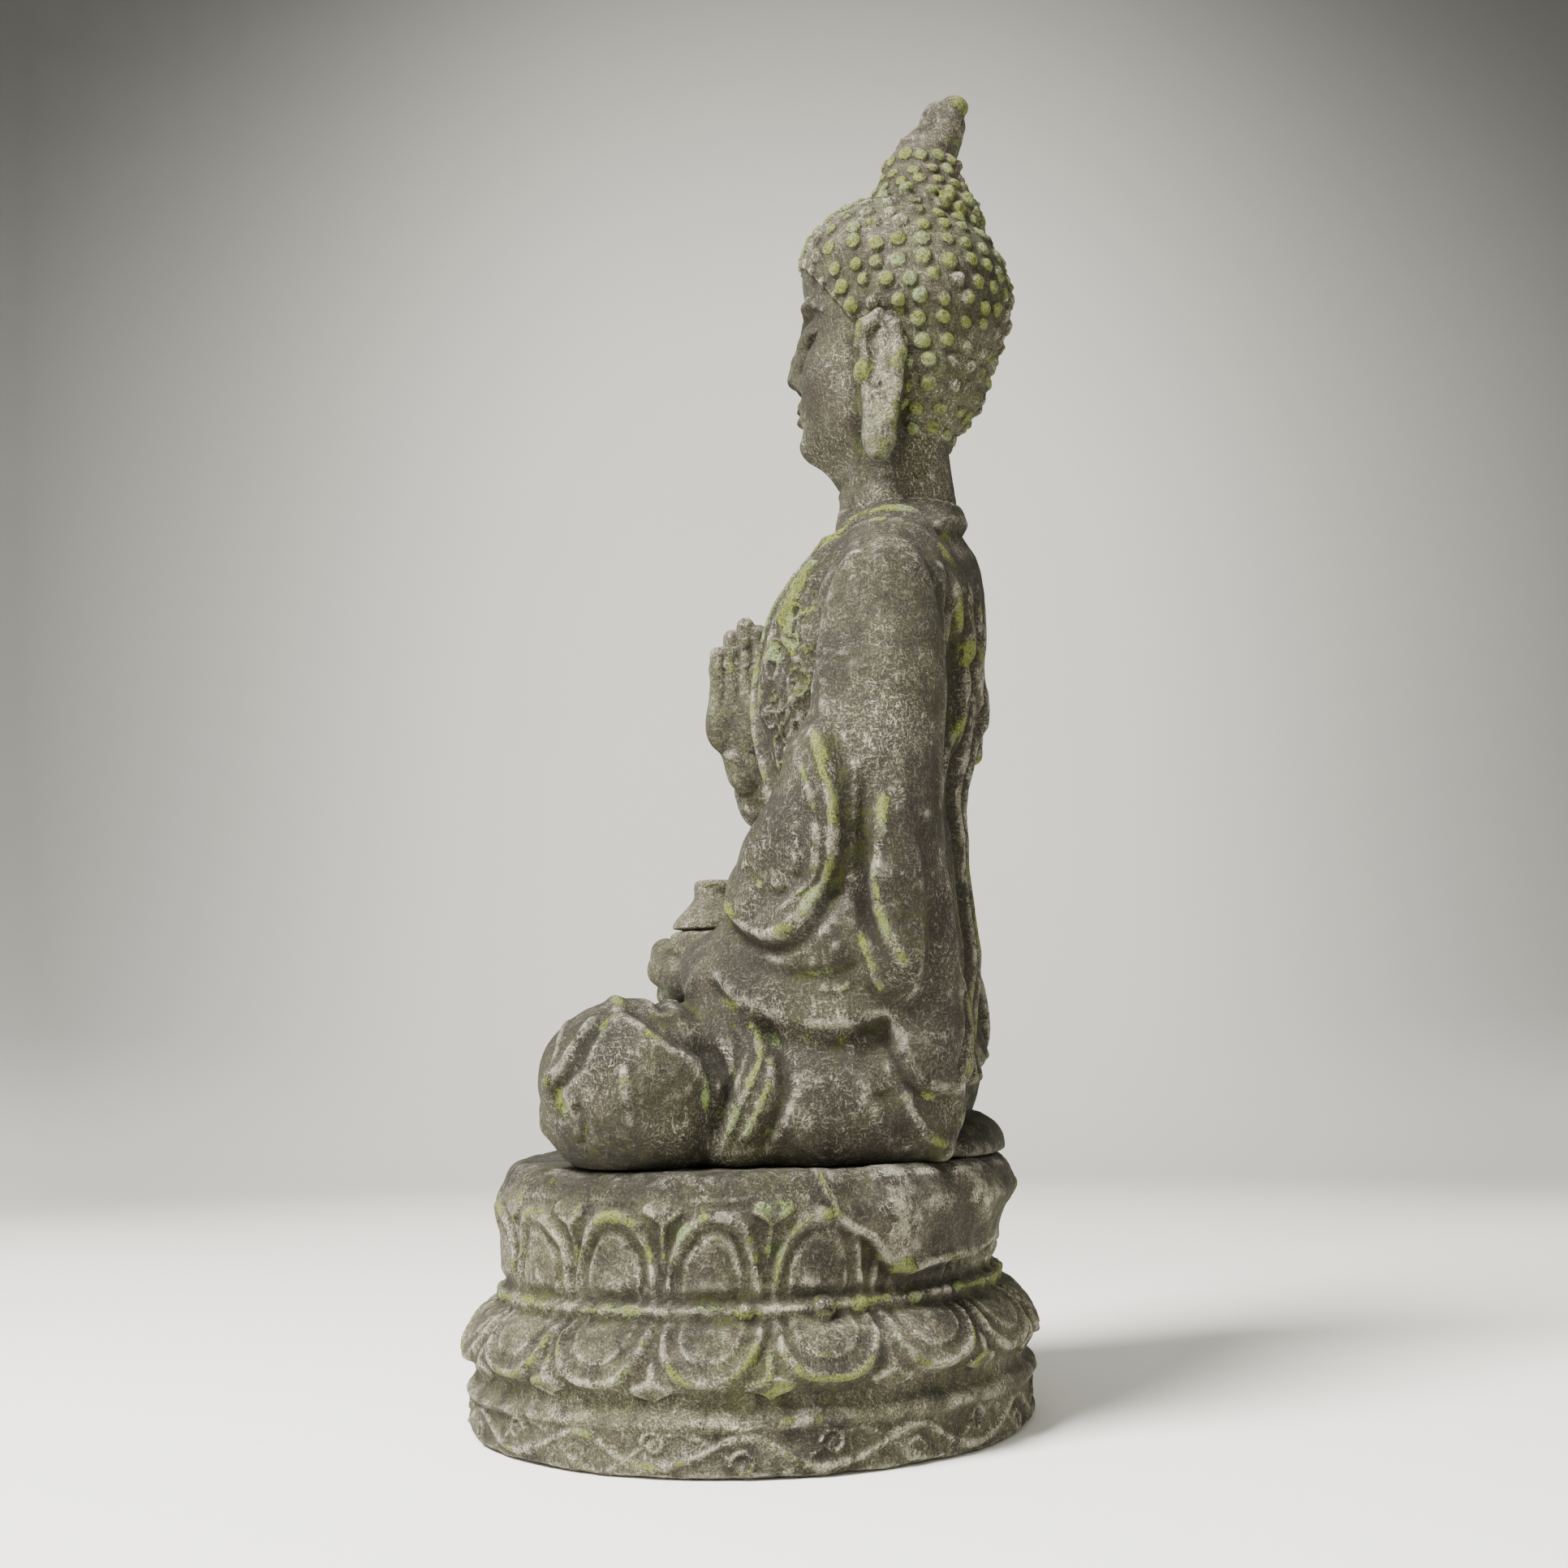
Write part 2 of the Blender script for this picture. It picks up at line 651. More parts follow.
# Levels of the joints, of the plinth's ledge and of the beaded cord
Z_LOWER = 40
Z_BEAD = 106.5
Z_UPPER = 123.5
Z_LEDGE = 36
Z_CORD = 103

# Half depth and level, from the underside up to the seat
PEDESTAL = [
    (3, 0.6), (198, 0.6), (203, 1.5), (205.5, 5), (205, 14), (204.5, 26), (205, 30), (207.5, 33.5),
    (208, 36.5), (205.5, 40), (202, 43), (201, 47), (203, 51), (207, 56), (210.5, 62), (210, 69),
    (205, 78), (198, 87), (190, 94), (184.5, 98), (181.5, 104), (180, 110), (180.5, 118),
    (181, 128), (182, 138), (184, 147), (187, 155), (189.5, 161), (191, 167), (189, 172),
    (186, 177), (184.5, 181), (182, 186), (177, 190.5), (168, 192.2), (3, 192.2)]


def oval_skin():
    """The pedestal's skin through its ovals, closed at both ends. Gives points,
    faces, and each point's angle in degrees."""
    rows = closer(PEDESTAL, lambda a, b: 16 if min(a[0], b[0]) < OVAL_INNER else 1.7)
    angle = 2 * np.pi * np.arange(AROUND) / AROUND
    wide = rows[:, :1] + OVAL_EXTRA * np.clip(rows[:, :1] / OVAL_INNER, 0, 1)
    points, quads = rings(wide * np.cos(angle), rows[:, :1] * np.sin(angle), rows[:, 1:])
    return points, quads, np.tile(np.degrees(angle), len(rows))


def closer(profile, spacing):
    """A rounded profile with more points on it, set at a spacing for each stretch."""
    profile = rounded(profile, 2)
    rows = [profile[:1]]
    for a, b in zip(profile[:-1], profile[1:]):
        parts = max(1, int(round(np.linalg.norm(b - a) / spacing(a, b))))
        rows.append(a + (b - a) * np.arange(1, parts + 1)[:, None] / parts)
    return np.vstack(rows)


def rings(x, y, level):
    """Points and faces of rings, one for each row of x, y and level, with a flat
    cap on the first and the last."""
    rows, around = x.shape
    points = np.stack([x, y, np.repeat(level, around, axis=1)], axis=2).reshape(-1, 3)
    i = np.arange(around)
    quads = [np.stack([j * around + i, j * around + (i + 1) % around,
                       (j + 1) * around + (i + 1) % around, (j + 1) * around + i], axis=1)
             for j in range(rows - 1)]
    for ring, flip in ((0, True), (rows - 1, False)):
        half = np.arange(around // 2 - 1)
        a = ring * around + half
        b = ring * around + around - 1 - half
        cap = np.stack([a, a + 1, b - 1, b], axis=1)
        quads.append(cap[:, ::-1] if flip else cap)
    return points, outward(points, np.vstack(quads))


def petal_field(angle, v, inner_top):
    """A petal course: v runs from a petal's root, 0, to its tip, 1. Each petal has
    an outer and an inner outline round a swelling, and a small leaf shows between
    two petals. Gives height, moss, dirt and worn."""
    place = (angle - PETAL_PHASE) * PETALS / 360 + 0.5
    side = np.abs(2 * np.mod(place, 1) - 1)

    def outline(half, foot, top):
        rise = np.clip((v - foot) / (top - foot), 0, None)
        return (side / half) ** 2.3 + rise ** 2.0

    outer = outline(0.86, 0.12, 0.93)
    inner = outline(0.53, 0.16, inner_top)
    inside = smooth(1.25, 0.9, outer)
    rim = bell(outer - 1, 0.19)
    groove = bell(outer - 0.55, 0.20) * smooth(1.05, 1.3, inner)
    line = bell(inner - 1, 0.24)
    heart = np.clip(1 - inner * 1.15, 0, 1) ** 0.6
    height = 2.4 * inside + 2.5 * rim - 0.8 * groove + 1.4 * line + 2.6 * heart - 2.2
    gap = 1 - side
    leaf_width = 0.32 * between(0.80, 0.98, 1.02, 1.16, v) + 0.07 * smooth(0.3, 0.6, v)
    leaf = smooth(-0.06, 0.08, leaf_width - gap) * (outer > 1.15) * smooth(0.35, 0.5, v)
    height = height + 2.6 * leaf * smooth(0.4, 0.8, v)
    moss = np.maximum.reduce([rim * smooth(0.05, 0.5, v), 0.5 * line, 0.85 * leaf])
    dirt = np.maximum(bell(outer - 1.6, 0.4) * (1 - leaf), 0.6 * groove)
    return height, moss, 0.6 * dirt, np.maximum(0.4 * rim, 0.3 * line)


def scroll_field(angle, level):
    """The plinth's frieze: a waving vine with a curl in each of its bays."""
    turn = (angle - SCROLL_PHASE) * SCROLL_WAVES / 360 * 2 * np.pi
    middle = 16.5 + 9.5 * np.cos(turn) + 1.2 * np.sin(2 * turn + 1)
    slope = 9.5 * np.sin(turn) * SCROLL_WAVES / 215
    thick = 2.7 + 0.8 * np.sin(turn * 2.3 + 1.0)
    vine = bell(level - middle, thick * np.sqrt(1 + slope ** 2))
    twig_level = 16 + 13 * np.cos(turn + 2.3)
    twig = 0.6 * bell(level - twig_level, 1.7) * smooth(3, 7, np.abs(level - middle))
    curl = np.zeros_like(angle)
    for k in range(2 * SCROLL_WAVES):
        across = (np.mod(angle - SCROLL_PHASE - 180 * k / SCROLL_WAVES + 180, 360) - 180)
        across = np.radians(across) * SCROLL_RADIUS
        up = level - (22.5 if k % 2 else 10)
        away = np.hypot(across, up)
        bearing = np.arctan2(up, across * (1 if k % 4 < 2 else -1))
        spiral = 3.6 + 5.6 * (bearing + np.pi) / (2 * np.pi)
        curl = np.maximum(curl, bell(away - spiral, 1.5) * (away < 11))
        curl = np.maximum(curl, 0.7 * bell(away, 2.2))
    return vine, np.maximum(curl, twig)


def cord_field(angle, level):
    """A cord of worn beads: its height."""
    rows = np.random.RandomState(11)
    beads = np.zeros_like(angle)
    near = np.abs(level - Z_CORD) < 16
    for k in range(BEADS):
        at = 360 * (k + rows.uniform(-0.25, 0.25)) / BEADS
        size = rows.uniform(4.6, 6.2)
        stretch = rows.uniform(1.0, 2.2)
        if k == 3:
            size, stretch = 8.5, 1.0
        across = (np.mod(angle[near] - at + 180, 360) - 180) * np.pi / 180 * CORD_RADIUS
        away = np.hypot(across / stretch, level[near] - Z_CORD) / size
        beads[near] = np.maximum(beads[near], size * np.sqrt(np.clip(1 - away ** 2, 0, None)))
    return beads


def robe_over_seat(angle, level):
    """The robe's end that falls over the seat's left rear edge, down to the waist.
    Gives its cover, height, mossy edge and the shadow line under it."""
    foot = np.interp(angle, ROBE_FOOT[0], ROBE_FOOT[1])
    over = level - foot
    cover = smooth(-1.5, 3.0, over)
    fan = (angle - 40) * (0.55 + 0.45 * smooth(120, 200, level))
    folds = 2.4 * np.sin(fan * 0.30 + 1.1) + 1.3 * np.sin(fan * 0.62 + level * 0.05)
    hollow = 4.5 * bell(angle - 29, 5.5) * smooth(150, 168, level)
    edge = bell(over - 4, 3.6) * smooth(75, 55, angle)
    fade = 1 - 0.6 * smooth(52, 95, angle)
    height = (7.0 + folds - hollow + 2.6 * edge) * fade
    return cover, height, edge, bell(over + 4, 4.0) * smooth(80, 60, angle)


def pedestal():
    """One stone skin from the ground to the seat, parted at the beds."""
    points, quads, angle = oval_skin()
    level = points[:, 2]
    wall = smooth(0.86, 0.93, np.hypot(points[:, 0] / 213, points[:, 1] / 193))
    relief = Relief(points, normals_of(points, quads))
    patchy = smooth(-0.6, 0.3, BROAD.at(points * 0.8 + 90))
    drift = 1.5 * BROAD.at(points * 0.6 + 300)
    chips = MIDDLE.at(points * 0.8 + 210)

    vine, curl = scroll_field(angle, level + 0.6 * drift)
    band = between(2, 6, 29, 33, level) * wall
    relief.height += band * (2.3 * vine + 2.2 * curl - 0.6)
    relief.moss = band * patchy * (0.85 * vine + 0.5 * curl)
    relief.worn = band * np.maximum(0.45 * vine, 0.5 * curl)
    relief.dirt = band * 0.45 * (1 - np.maximum(vine, curl))
    ledge = bell(level - Z_LEDGE, 4.0) * wall
    relief.height += ledge * (1.2 * np.cos(np.radians(angle * 7 + 40)) + 0.8 * drift + 0.9 * chips)
    relief.lay(moss=0.6 * ledge * patchy, worn=0.8 * ledge * smooth(-0.5, 0.4, chips),
               dirt=0.55 * bell(level - 46, 4.0) * wall)

    for root, tip, inner_top, low, high in ((101, 57, 0.60, 50, 99), (106, 170, 0.70, 104, 174)):
        v = (level - root) / (tip - root) + 0.012 * drift + 0.022 * chips
        height, moss, dirt, worn = petal_field(angle + 0.5 * drift + 0.5 * chips, v, inner_top)
        gate = wall * between(low - 3, low + 2, high - 2, high + 2, level)
        height = height * smooth(0.02, 0.26, v) * (0.85 + 0.3 * patchy)
        relief.height += gate * height
        relief.lay(moss=gate * moss * (0.35 + 0.65 * patchy), dirt=gate * dirt, worn=gate * worn)

    beads = cord_field(angle, level + 0.8 * drift) * wall
    cord = bell(level - Z_CORD, 4.0) * wall
    relief.height -= wall * (1.8 * bell(level - 111, 4.5) + 1.2 * bell(level - 96, 4.0))
    relief.height += np.maximum(0.95 * beads, (3.2 + 1.6 * chips) * cord)
    relief.lay(moss=np.clip(0.6 * cord + smooth(0.5, 4, beads), 0, 1),
               dirt=0.6 * bell(level - 112, 4.5) * wall)
    lip = bell(level - 171, 4) * wall
    spots = smooth(-0.2, 0.4, MIDDLE.at(points * 0.5))
    relief.lay(moss=spots * np.maximum(0.5 * lip, 0.45 * bell(level - 184, 7)),
               dirt=smooth(168, 184, level) * (0.42 + 0.4 * (1 - spots)))
    relief.aged = 0.8 * smooth(170, 182, level)

    cover, robe, edge, under = robe_over_seat(angle + 0.8 * drift, level)
    cover = cover * wall
    relief.height = relief.height * (1 - cover) + cover * robe * (1 - 0.6 * smooth(184, 191, level))
    tip = bell(angle - 40, 6) * smooth(150, 122, level)
    for key, values in (("moss", np.maximum(0.5 * edge, 0.9 * tip)),
                        ("dirt", 0.6 * smooth(5.5, 3.0, robe)),
                        ("worn", 0.6 * smooth(7.0, 9.5, robe))):
        setattr(relief, key, getattr(relief, key) * (1 - cover) + cover * values)
    relief.lay(dirt=0.9 * under * wall * (1 - cover))

    flat = level < 0.7
    relief.height[flat] = 0
    raised = finish_skin(points, quads, relief)
    raised[flat] = points[flat]
    raised[:, 2] += 0.02 * raised[:, 1] * smooth(20, 45, level) * smooth(186, 150, level)
    rear = smooth(120, 190, level)
    raised[:, 1] += 6.0 * rear
    raised[:, 2] = np.maximum(raised[:, 2], 0.3)
    middle = points[quads].mean(axis=1)[:, 2]
    part_skin(raised, quads, relief, np.digitize(middle, [Z_LOWER, Z_BEAD, Z_UPPER]), [
        ("plinth_stone", ("plinth", "plinth_bed")),
        ("lower_lotus_stone", ("lower_lotus", "lower_waist_bed")),
        ("bead_stone", ("bead_course",)),
        ("upper_lotus_stone", ("upper_lotus", "upper_waist_bed", "seat_bed"))])


# ---- figure ----

BODY_CELL = 2.0
# The joint between lap and torso, which lies higher in front, over the knees
Z_HIPS = 301.5
Y_KNEES = -10
Z_KNEES = 320


def body_clay():
    clay = Clay((-216, -138, 186), (216, 212, 690), BODY_CELL)
    # Hips, belly, chest and back
    clay.ball((0, 97, 250), (128, 70, 80))
    clay.ball((0, 98, 330), (112, 75, 96), 24)
    clay.ball((0, 96, 415), (104, 70, 110), 24)
    clay.ball((0, 98, 535), (118, 83, 112), 24)
    clay.ball((0, 124, 600), (112, 61, 66), 20)
    clay.limb([(-32, 126, 638), (0, 124, 664), (32, 126, 638)],
            [32, 45, 32], (1, 1.05, 1), soft=16)
    clay.ball((0, 136, 630), (64, 44, 50), 16)
    for s in SIDES:
        # Shoulder, upper arm and the sleeve that hangs behind the elbow
        clay.limb([(s * 36, 128, 634), (s * 90, 124, 603)], [31, 36], soft=20)
        clay.limb([(s * 106, 119, 586), (s * 126, 117, 520), (s * 138, 112, 430)],
                [45, 47, 45], soft=14)
        clay.limb([(s * 146, 126, 450), (s * 158, 122, 385), (s * 161, 121, 334)], [34, 31, 23],
                (0.75, 1, 1), soft=10)
        clay.limb([(s * 128, 130, 410), (s * 134, 135, 340), (s * 124, 138, 284),
                (s * 110, 122, 248)], [30, 33, 34, 33], soft=14)
        # Thigh, then the knee in front of it
        clay.limb([(s * 116, -6, 240), (s * 116, 66, 242), (s * 106, 106, 246)],
                [52, 60, 62], soft=20)
        clay.limb([(s * 118, 30, 292), (s * 116, 84, 300), (s * 104, 120, 300)],
                [46, 50, 44], soft=18)
        clay.ball((s * 126, -58, 252), (78, 69, 57), 5)
        clay.ball((s * 120, -56, 220), (76, 65, 38), 14)
        # The robe's end that falls from the wrist between knee and thigh
        clay.limb([(s * 78, -10, 332), (s * 116, 6, 314), (s * 145, 24, 284), (s * 158, 29, 252),
                (s * 153, 14, 206)], [14, 15, 15, 14, 13], (0.9, 1.8, 1), soft=9)
    # Crossed shins under the robe, and its hem on the seat in front
    clay.limb([(126, -62, 228), (0, -76, 232), (-126, -62, 228)], [42, 44, 42], soft=16)
    clay.limb([(-110, -50, 262), (0, -52, 268), (96, -60, 250)], [32, 34, 26], soft=16)
    clay.ball((0, -30, 262), (104, 60, 40), 18)
    clay.ball((0, -78, 200), (118, 44, 20), 10)
    # The robe's train, gathered on the seat behind
    clay.ball((-18, 158, 196), (98, 32, 26), 8)
    clay.limb([(64, 140, 248), (96, 148, 222), (112, 150, 204)], [24, 18, 12], soft=10)
    clay.carve(ball((70, 178, 212), (30, 12, 8)), 6)
    # The robe between the forearm and the lap
    clay.ball((92, 52, 318), (62, 78, 40), 16)
    clay.limb([(134, 86, 350), (104, 36, 336), (62, -8, 330)], [44, 40, 26], soft=12)
    # The wide outer sleeve with its open end over the forearm
    clay.limb([(136, 100, 462), (136, 78, 420), (126, 56, 400), (112, 35, 382)],
            [46, 44, 40, 30], soft=18)
    # The right sleeve and forearm, raised before the chest
    clay.limb([(-138, 98, 430), (-108, 62, 426), (-58, 15, 464)], [42, 34, 28], soft=14)
    clay.limb([(-116, 50, 396), (-96, 34, 372)], [36, 22], soft=14)
    clay.ball((-92, 52, 318), (62, 74, 36), 16)
    clay.limb([(-58, 14, 466), (-40, -2, 502)], [25, 18], (0.8, 1.1, 1), soft=6)
    clay.keep(193.0, 676.0)
    return clay


# Keeps the sleeve's lines on the arm and off the belly
ARM_BOX = ((60, -200, 250), (300, 300, 700))
LAPEL_BOX = ((10, -200, 480), (120, 90, 660))
# Lines on both sides of the robe, as (y, z)
SHAWL = [(62, 630), (86, 646), (112, 651), (138, 646), (158, 630), (172, 604)]
BACK_EDGE = [(152, 628), (166, 600), (172, 556), (170, 500), (165, 440), (163, 400)]


def left_side_folds(r):
    """The robe as it lies on the figure's left side. Lines are (y, z)."""
    r.view = "left"
    # Collar, and the shawl's edge that runs over the shoulder down the back
    r.line([(66, 640), (84, 657), (108, 666), (132, 664), (150, 656)], 4.0, 1.8, 0.95, 0.3)
    r.line(SHAWL, 3.6, 2.4, 0.8, 0.4)
    r.line([(74, 648), (98, 658), (124, 659), (146, 650)], 3.0, -1.2, 0.3, 0.4)
    r.line([(96, 634), (122, 640), (144, 632), (160, 606), (166, 560), (164, 500), (160, 440),
            (158, 404)], 4, -3.5, 0.1, 0.9)
    r.line(BACK_EDGE, 2.6, 2.6, 0.8, 0.2)
    r.line([(176, 600), (180, 540), (174, 480), (172, 430)], 3, -2.5, 0.3, 0.7)
    # Lapel and the ornaments beside it
    r.line([(88, 652), (68, 630), (52, 600), (37, 564), (28, 534), (24, 500)],
            5, 5, 0.95, 0.4, box=LAPEL_BOX)
    r.line([(92, 640), (74, 610), (58, 574), (48, 540), (44, 500)], 4, -3.5, 0.5, 0.9)
    r.line([(84, 622), (76, 598), (62, 590), (58, 572), (66, 560), (58, 544)], 3, 3, 0.7, 0.4)
    r.line([(44, 590), (52, 578), (46, 566), (54, 552), (48, 536), (56, 520), (46, 506)],
            3, 3, 0.9, 0.6)
    r.line([(62, 532), (54, 516), (62, 500), (52, 486), (60, 470)], 3, 3, 0.8, 0.5)
    r.tangle((36, 20, 430), (120, 80, 632), 8.5, 2.6)
    # Where the arm leaves the chest
    r.line([(98, 630), (84, 612), (70, 570), (67, 524), (74, 486)], 6, -7, 0.1, 0.7)
    r.line([(112, 624), (94, 606), (80, 566), (79, 526), (86, 490), (96, 470)], 7, 3.0, 0.15, 0.0)
    r.line([(72, 546), (84, 538), (100, 537), (116, 542)], 2.4, -1.5, 0.35, 0.6, 0.4)
    # The wide sleeve's open end, and the fold inside it
    r.hem([(4, 388), (10, 364), (26, 348), (46, 343), (68, 352), (84, 376), (94, 408), (96, 438),
            (90, 470), (76, 502)], 4.6, 9, 50, 0.8, 1.0, ARM_BOX)
    r.line([(66, 476), (80, 438), (80, 400), (68, 374), (50, 362)], 3.2, 2.0, 0.6, 0.3)
    r.line([(58, 468), (70, 432), (70, 400), (58, 378)], 3.5, -2.0, 0.35, 0.4)
    r.line([(20, 398), (34, 384), (50, 376), (60, 382)], 4, -3, 0.6, 0.6)
    # The hanging sleeve and the deep fold before it
    r.line([(113, 470), (110, 430), (106, 392), (106, 366), (115, 345), (130, 327)],
            6, -9, 0.1, 1.0, 0.3, box=ARM_BOX)
    r.hem([(121, 448), (115, 400), (113, 368), (121, 344), (135, 320)],
            3.6, 5, 26, 0.9, 0.6, ARM_BOX)
    r.hem([(144, 430), (150, 385), (150, 340), (147, 314), (138, 300), (124, 298)],
            4, -4, 26, 0.2, 0.6, ARM_BOX)
    r.line([(104, 352), (112, 332), (119, 308)], 4, 2.4, 0.6, 0.6)
    r.line([(134, 480), (138, 420), (139, 376)], 6, 1.6, 0.1, 0.2)
    # Folds from the wrist round the hip
    r.hem([(122, 297), (104, 285), (70, 283), (40, 292), (14, 306), (-8, 326)],
            5, -7, 34, 0.4, 0.7)
    r.line([(16, 292), (44, 279), (74, 272), (100, 274)], 5, -3, 0.3, 0.5)
    r.line([(22, 336), (50, 322), (80, 320), (108, 330)], 5, -3, 0.45, 0.5)
    r.line([(76, 314), (88, 310), (98, 316)], 3.4, 2.0, 0.5, 0.4)
    # The robe's end between knee and thigh
    r.line([(30, 202), (42, 222), (52, 244), (50, 266), (42, 282), (30, 300)], 5, -6, 0.4, 1.0)
    r.line([(6, 202), (22, 238), (36, 262), (34, 280), (24, 296), (8, 314)], 3.4, 2.2, 0.7, 0.2)
    r.line([(20, 208), (34, 232), (44, 254), (42, 272)], 3.4, 1.8, 0.6, 0.2)
    r.line([(-4, 210), (8, 240), (20, 262), (20, 280), (8, 300)], 3.5, -2.5, 0.3, 0.6)
    # The robe's hem behind the hip, and its tail on the seat
    r.hem([(172, 240), (160, 239), (145, 244), (134, 256), (126, 274), (121, 296)],
            4.5, -8, 36, 0.7, 1.0)
    r.line([(134, 244), (138, 226), (146, 212), (157, 202)], 5, 5, 0.5, 0.5)
    r.line([(118, 246), (124, 224), (132, 204)], 7, -4, 0.3, 0.9)
    # The knee, with a crease behind it and the robe gathered before it
    r.line([(-66, 308), (-46, 303), (-30, 291), (-13, 280), (2, 270), (10, 256), (12, 242), (6, 226),
            (0, 204)], 5, -8, 0.3, 1.0)
    r.line([(-72, 299), (-50, 293), (-36, 281), (-20, 271), (-8, 262), (-2, 248), (-1, 236),
            (-10, 224)], 3.6, 3.0, 0.9, 0.2)
    r.line([(-66, 302), (-80, 278), (-84, 264), (-103, 249), (-100, 239), (-94, 225)],
            4, -4.5, 0.8, 0.8)
    r.line([(-76, 298), (-90, 276), (-96, 262), (-112, 248)], 3.5, 3.5, 0.6, 0.2)
    r.line([(-102, 297), (-101, 266), (-108, 248)], 3.5, 3, 0.5, 0.5)
    r.line([(-88, 240), (-80, 226), (-84, 208)], 4, -3, 0.4, 0.6)
    r.line([(-52, 268), (-50, 240), (-48, 220)], 4, 1.4, 0.6, 0.1)


def right_side_folds(r):
    """The far side is carved alike, without being a mirror image."""
    r.view = "right"
    r.line([(66, 640), (84, 657), (108, 666), (134, 665), (158, 655), (176, 638)],
            3.0, 2.6, 0.9, 0.4)
    r.line(SHAWL, 3.2, 3.2, 0.7, 0.6)
    r.line([(84, 612), (70, 566), (66, 524), (72, 480)], 6, -6, 0.1, 0.6)
    r.line(BACK_EDGE, 3.2, 3.5, 0.8, 0.3)
    r.line([(96, 634), (122, 640), (144, 632), (160, 606), (166, 560), (164, 500)],
            4, -3.5, 0.1, 0.8)
    r.line([(20, 470), (34, 440), (60, 404), (84, 384)], 5, 5, 0.6, 0.4)
    r.line([(8, 450), (30, 420), (52, 386), (70, 360)], 5, -5, 0.3, 0.7)
    r.line([(112, 470), (108, 420), (106, 380), (114, 350), (130, 328)], 6, -10, 0.2, 1.0)
    r.line([(121, 440), (116, 396), (115, 366), (124, 347), (138, 331)], 4.2, 4.0, 0.9, 0.1)
    r.hem([(122, 298), (144, 306), (153, 350), (152, 410)], 4, -6, 30, 0.5, 0.6)
    r.hem([(-8, 322), (14, 306), (40, 292), (80, 284), (118, 296)], 5, -6, 34, 0.4, 0.6)
    r.line([(-66, 308), (-34, 292), (-6, 274), (10, 250), (4, 206)], 5, -8, 0.3, 1.0)
    r.line([(-70, 298), (-36, 281), (-14, 266), (-4, 244)], 3.6, 3, 0.8, 0.2)
    r.line([(2, 206), (13, 231), (28, 250), (34, 266), (24, 292)], 3.5, 3.5, 0.8, 0.2)
    r.line([(12, 204), (24, 232), (40, 254), (44, 270), (34, 296)], 4.5, -6, 0.2, 0.9)
    r.line([(-90, 292), (-100, 262), (-96, 228)], 4, -4, 0.5, 0.6)
    r.hem([(116, 306), (122, 281), (134, 259), (150, 243), (165, 236)], 4.5, -9, 40, 0.6, 1)
    r.line([(130, 252), (136, 228), (150, 202)], 5, 5, 0.5, 0.6)


def front_folds(r):
    """Lines are (x, z). The robe crosses the chest and spreads over the lap."""
    r.view = "front"
    r.hem([(44, 440), (22, 500), (-8, 560), (-34, 620), (-50, 662)], 5, 8, 44, 0.8, 0.8)
    r.hem([(-2, 552), (18, 580), (38, 622), (52, 662)], 4, 5, 30, 0.8, 0.8)
    for k in range(4):
        lean = 20 * k
        r.line([(-96 + lean, 600), (-66 + lean, 530), (-34 + lean, 460), (-6 + lean, 400)], 6,
               *(2.6, 0.4, 0.3) if k % 2 else (-3.0, 0.4, 0.7))
    r.line([(86, 600), (74, 540), (70, 480), (74, 440)], 6, -3, 0.2, 0.6)
    for k in range(9):
        lean = (k - 4) * 22
        bow = 6 * math.sin(1.7 * k)
        r.line([(lean * 0.5, 292), (lean * 0.9 + bow, 262), (lean * 1.25, 226),
                (lean * 1.45 - bow, 198)], 4.5, *(3.6, 0.6, 0.1) if k % 2 else (-4.0, 0.1, 0.8))
    r.hem([(118, 216), (60, 202), (0, 198), (-60, 202), (-118, 216)], 3.5, -5, 18, 0.6, 0.8)
    for s in SIDES:
        for line, *carving in (([(60, 296), (104, 284), (150, 252)], 5, -4, 0.3, 0.7),
                               ([(84, 252), (120, 240), (160, 214)], 5, 3, 0.5, 0.3),
                               ([(92, 236), (126, 222), (150, 202)], 4, -3, 0.3, 0.6)):
            r.line([(s * x, z) for x, z in line], *carving)


def back_folds(r):
    """Lines are (x, z). Long folds fall from the shoulders to the seat."""
    r.view = "back"
    r.hem([(78, 640), (40, 656), (0, 662), (-40, 656), (-78, 640)], 4, -6, 26, 0.8, 0.6)
    for k, (top, foot) in enumerate([(-92, -118), (-62, -80), (-34, -44), (-6, -10), (24, 30),
                                     (56, 70), (88, 112)]):
        sway = 9 * math.sin(k * 2.1)
        line = [(top, 622), (top * 1.04 + sway, 520), (foot * 0.9 - sway, 400), (foot, 290),
                (foot * 1.1, 226)]
        r.line(line, 6.5, 4.0, 0.5, 0.1)
        r.line([(x + 11, z) for x, z in line], 4.5, -3.6, 0.1, 0.8)
    r.hem([(-126, 262), (-70, 246), (0, 240), (70, 246), (126, 262)], 4.5, 7, 30, 0.7, 1.0)
    r.hem([(-124, 470), (-80, 466), (-10, 500), (60, 560), (112, 604)], 5, 5, 40, 0.6, 0.7)


def top_folds(r):
    """Lines are (x, y) on the lap."""
    r.view = "top"
    for s in SIDES:
        r.line([(s * 168, -60), (s * 120, -78), (s * 60, -84), (s * 20, -92)], 5, 3.5, 0.7, 0.3)
        r.line([(s * 160, -30), (s * 110, -50), (s * 50, -60)], 5, -4, 0.4, 0.8)


# The elbow's square cut. Nearer the belly than X_ELBOW each cut slants forward.
Y_ELBOW = 62
X_ELBOW = 100
Y_WRIST = 15
# Each side's least x, its slant, and its levels
FOREARMS = {1: (30, 1.05, Z_HIPS, 432), -1: (24, 0.62, 352, 512)}


